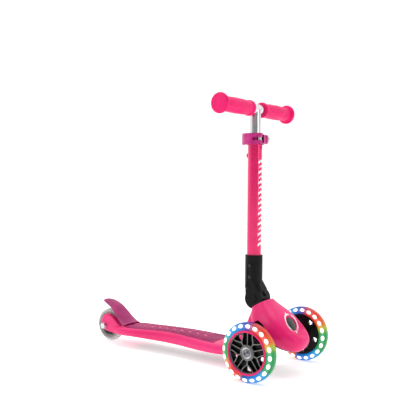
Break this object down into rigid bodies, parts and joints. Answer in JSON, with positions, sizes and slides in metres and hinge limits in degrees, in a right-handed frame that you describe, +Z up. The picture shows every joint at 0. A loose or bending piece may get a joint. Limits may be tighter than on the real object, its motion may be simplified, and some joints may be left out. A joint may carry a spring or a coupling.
{
  "type": "kick scooter",
  "caption": "Three-wheeled folding kick scooter for small children: lean-to-steer front truck, lit front wheels, foot brake and a height-adjustable T handlebar.",
  "frame": {"origin": "on the floor under the middle of the scooter's bounding box", "axes": "+X forward, +Y to the rider's left, +Z up"},
  "size_m": [0.5894, 0.2792, 0.5788],
  "materials": {
    "pink_paint": "satin",
    "pink_plastic": "satin",
    "magenta_plastic": "satin",
    "mat_rubber": "textured",
    "grip_rubber": "ribbed",
    "clamp_metal": "satin",
    "black_plastic": "satin",
    "grey_plastic": "satin",
    "polished_steel": "polished",
    "zinc_steel": "brushed",
    "spring_steel": "satin",
    "clear_tyre": "translucent",
    "rear_tyre_clear": "translucent",
    "lamp": "clear",
    "bushing_rubber": "matte",
    "copper_coil": "wound wire",
    "magnet": "plain"
  },
  "bodies": {
    "deck": {"deck_shell": "pink_plastic", "deck_mat": "mat_rubber", "deck_frame": "black_plastic", "deck_screws": "zinc_steel", "front_chassis": "black_plastic", "hood": "pink_plastic", "hood_liner": "black_plastic", "fold_knuckle": "black_plastic", "fold_pin": "black_plastic", "knuckle_bolts": "zinc_steel", "steering_kingpin": "zinc_steel", "steering_bushings": "bushing_rubber", "lock_spring": "spring_steel", "rear_axle": "zinc_steel", "rear_axle_nut": "zinc_steel", "rear_axle_sleeves": "grey_plastic", "brake_pin": "zinc_steel", "brake_spring": "spring_steel"},
    "truck": {"truck_bridge": "black_plastic", "front_axle_bolts": "polished_steel", "axle_magnets": "magnet"},
    "front_wheel_left": {"front_left_tyre": "clear_tyre", "front_left_lights": "lamp", "front_left_core": "grey_plastic", "front_left_trim_ring": "pink_plastic", "front_left_bearings": "zinc_steel", "front_left_coil": "copper_coil"},
    "front_wheel_right": {"front_right_tyre": "clear_tyre", "front_right_lights": "lamp", "front_right_core": "grey_plastic", "front_right_trim_ring": "pink_plastic", "front_right_bearings": "zinc_steel", "front_right_coil": "copper_coil"},
    "rear_wheel": {"rear_tyre": "rear_tyre_clear", "rear_core": "grey_plastic", "rear_bearings": "zinc_steel", "rear_spacer": "zinc_steel"},
    "brake": {"brake_fender": "magenta_plastic"},
    "steering_lock": {"lock_button": "black_plastic", "lock_plunger": "zinc_steel"},
    "column": {"column_socket": "black_plastic", "socket_bolts": "spring_steel", "lower_tube": "pink_paint", "tube_bushing": "black_plastic", "clamp_collar": "clamp_metal", "clamp_bolt": "zinc_steel", "clamp_barrel": "zinc_steel", "clamp_nut": "zinc_steel", "clamp_washer": "black_plastic", "fold_button_spring": "spring_steel"},
    "fold_catch": {"fold_button": "black_plastic"},
    "clamp": {"clamp_lever": "clamp_metal"},
    "height_catch": {"snap_button": "pink_plastic"},
    "handlebar": {"tbar": "polished_steel", "grip_left": "grip_rubber", "grip_right": "grip_rubber", "inner_tube_glide": "black_plastic"}
  },
  "joints": [
    {"name": "steering_tilt", "type": "hinge", "parent": "deck", "child": "truck", "pos_m": [0.21915, 0, 0.058], "axis": [0.8396, 0, 0.5432], "range_deg": [-10, 10], "stiffness_Nm_per_rad": 40},
    {"name": "front_left_spin", "type": "hinge", "parent": "truck", "child": "front_wheel_left", "pos_m": [0.22715, 0.114, 0.0605], "axis": [0, 1, 0], "continuous": true},
    {"name": "front_right_spin", "type": "hinge", "parent": "truck", "child": "front_wheel_right", "pos_m": [0.22715, -0.114, 0.0605], "axis": [0, 1, 0], "continuous": true},
    {"name": "rear_spin", "type": "hinge", "parent": "deck", "child": "rear_wheel", "pos_m": [-0.25485, 0, 0.04], "axis": [0, 1, 0], "continuous": true},
    {"name": "brake_press", "type": "hinge", "parent": "deck", "child": "brake", "pos_m": [-0.18885, 0, 0.038], "axis": [0, -1, 0], "range_deg": [0, 4.5], "stiffness_Nm_per_rad": 6, "springref_deg": -2.86},
    {"name": "steering_lock_press", "type": "slide", "parent": "deck", "child": "steering_lock", "axis": [-0.8396, 0, -0.5432], "range_m": [0, 0.004], "stiffness_N_per_m": 600, "springref_m": -0.001, "deforming": ["lock_spring"]},
    {"name": "column_fold", "type": "hinge", "parent": "deck", "child": "column", "pos_m": [0.17615, 0, 0.15], "axis": [0, -1, 0], "range_deg": [0, 90]},
    {"name": "fold_catch_press", "type": "slide", "parent": "column", "child": "fold_catch", "axis": [-0.866, 0, -0.5], "range_m": [0, 0.003], "stiffness_N_per_m": 500, "springref_m": -0.001, "deforming": ["fold_button_spring"]},
    {"name": "clamp_swing", "type": "hinge", "parent": "column", "child": "clamp", "pos_m": [0.18775, -0.017, 0.49235], "axis": [0, 0, 1], "range_deg": [0, 130]},
    {"name": "height_catch_press", "type": "slide", "parent": "column", "child": "height_catch", "axis": [1, 0, 0], "range_m": [0, 0.003], "stiffness_N_per_m": 500, "springref_m": -0.001},
    {"name": "handlebar_height", "type": "slide", "parent": "column", "child": "handlebar", "axis": [0, 0, 1], "range_m": [0, 0.13]}
  ]
}
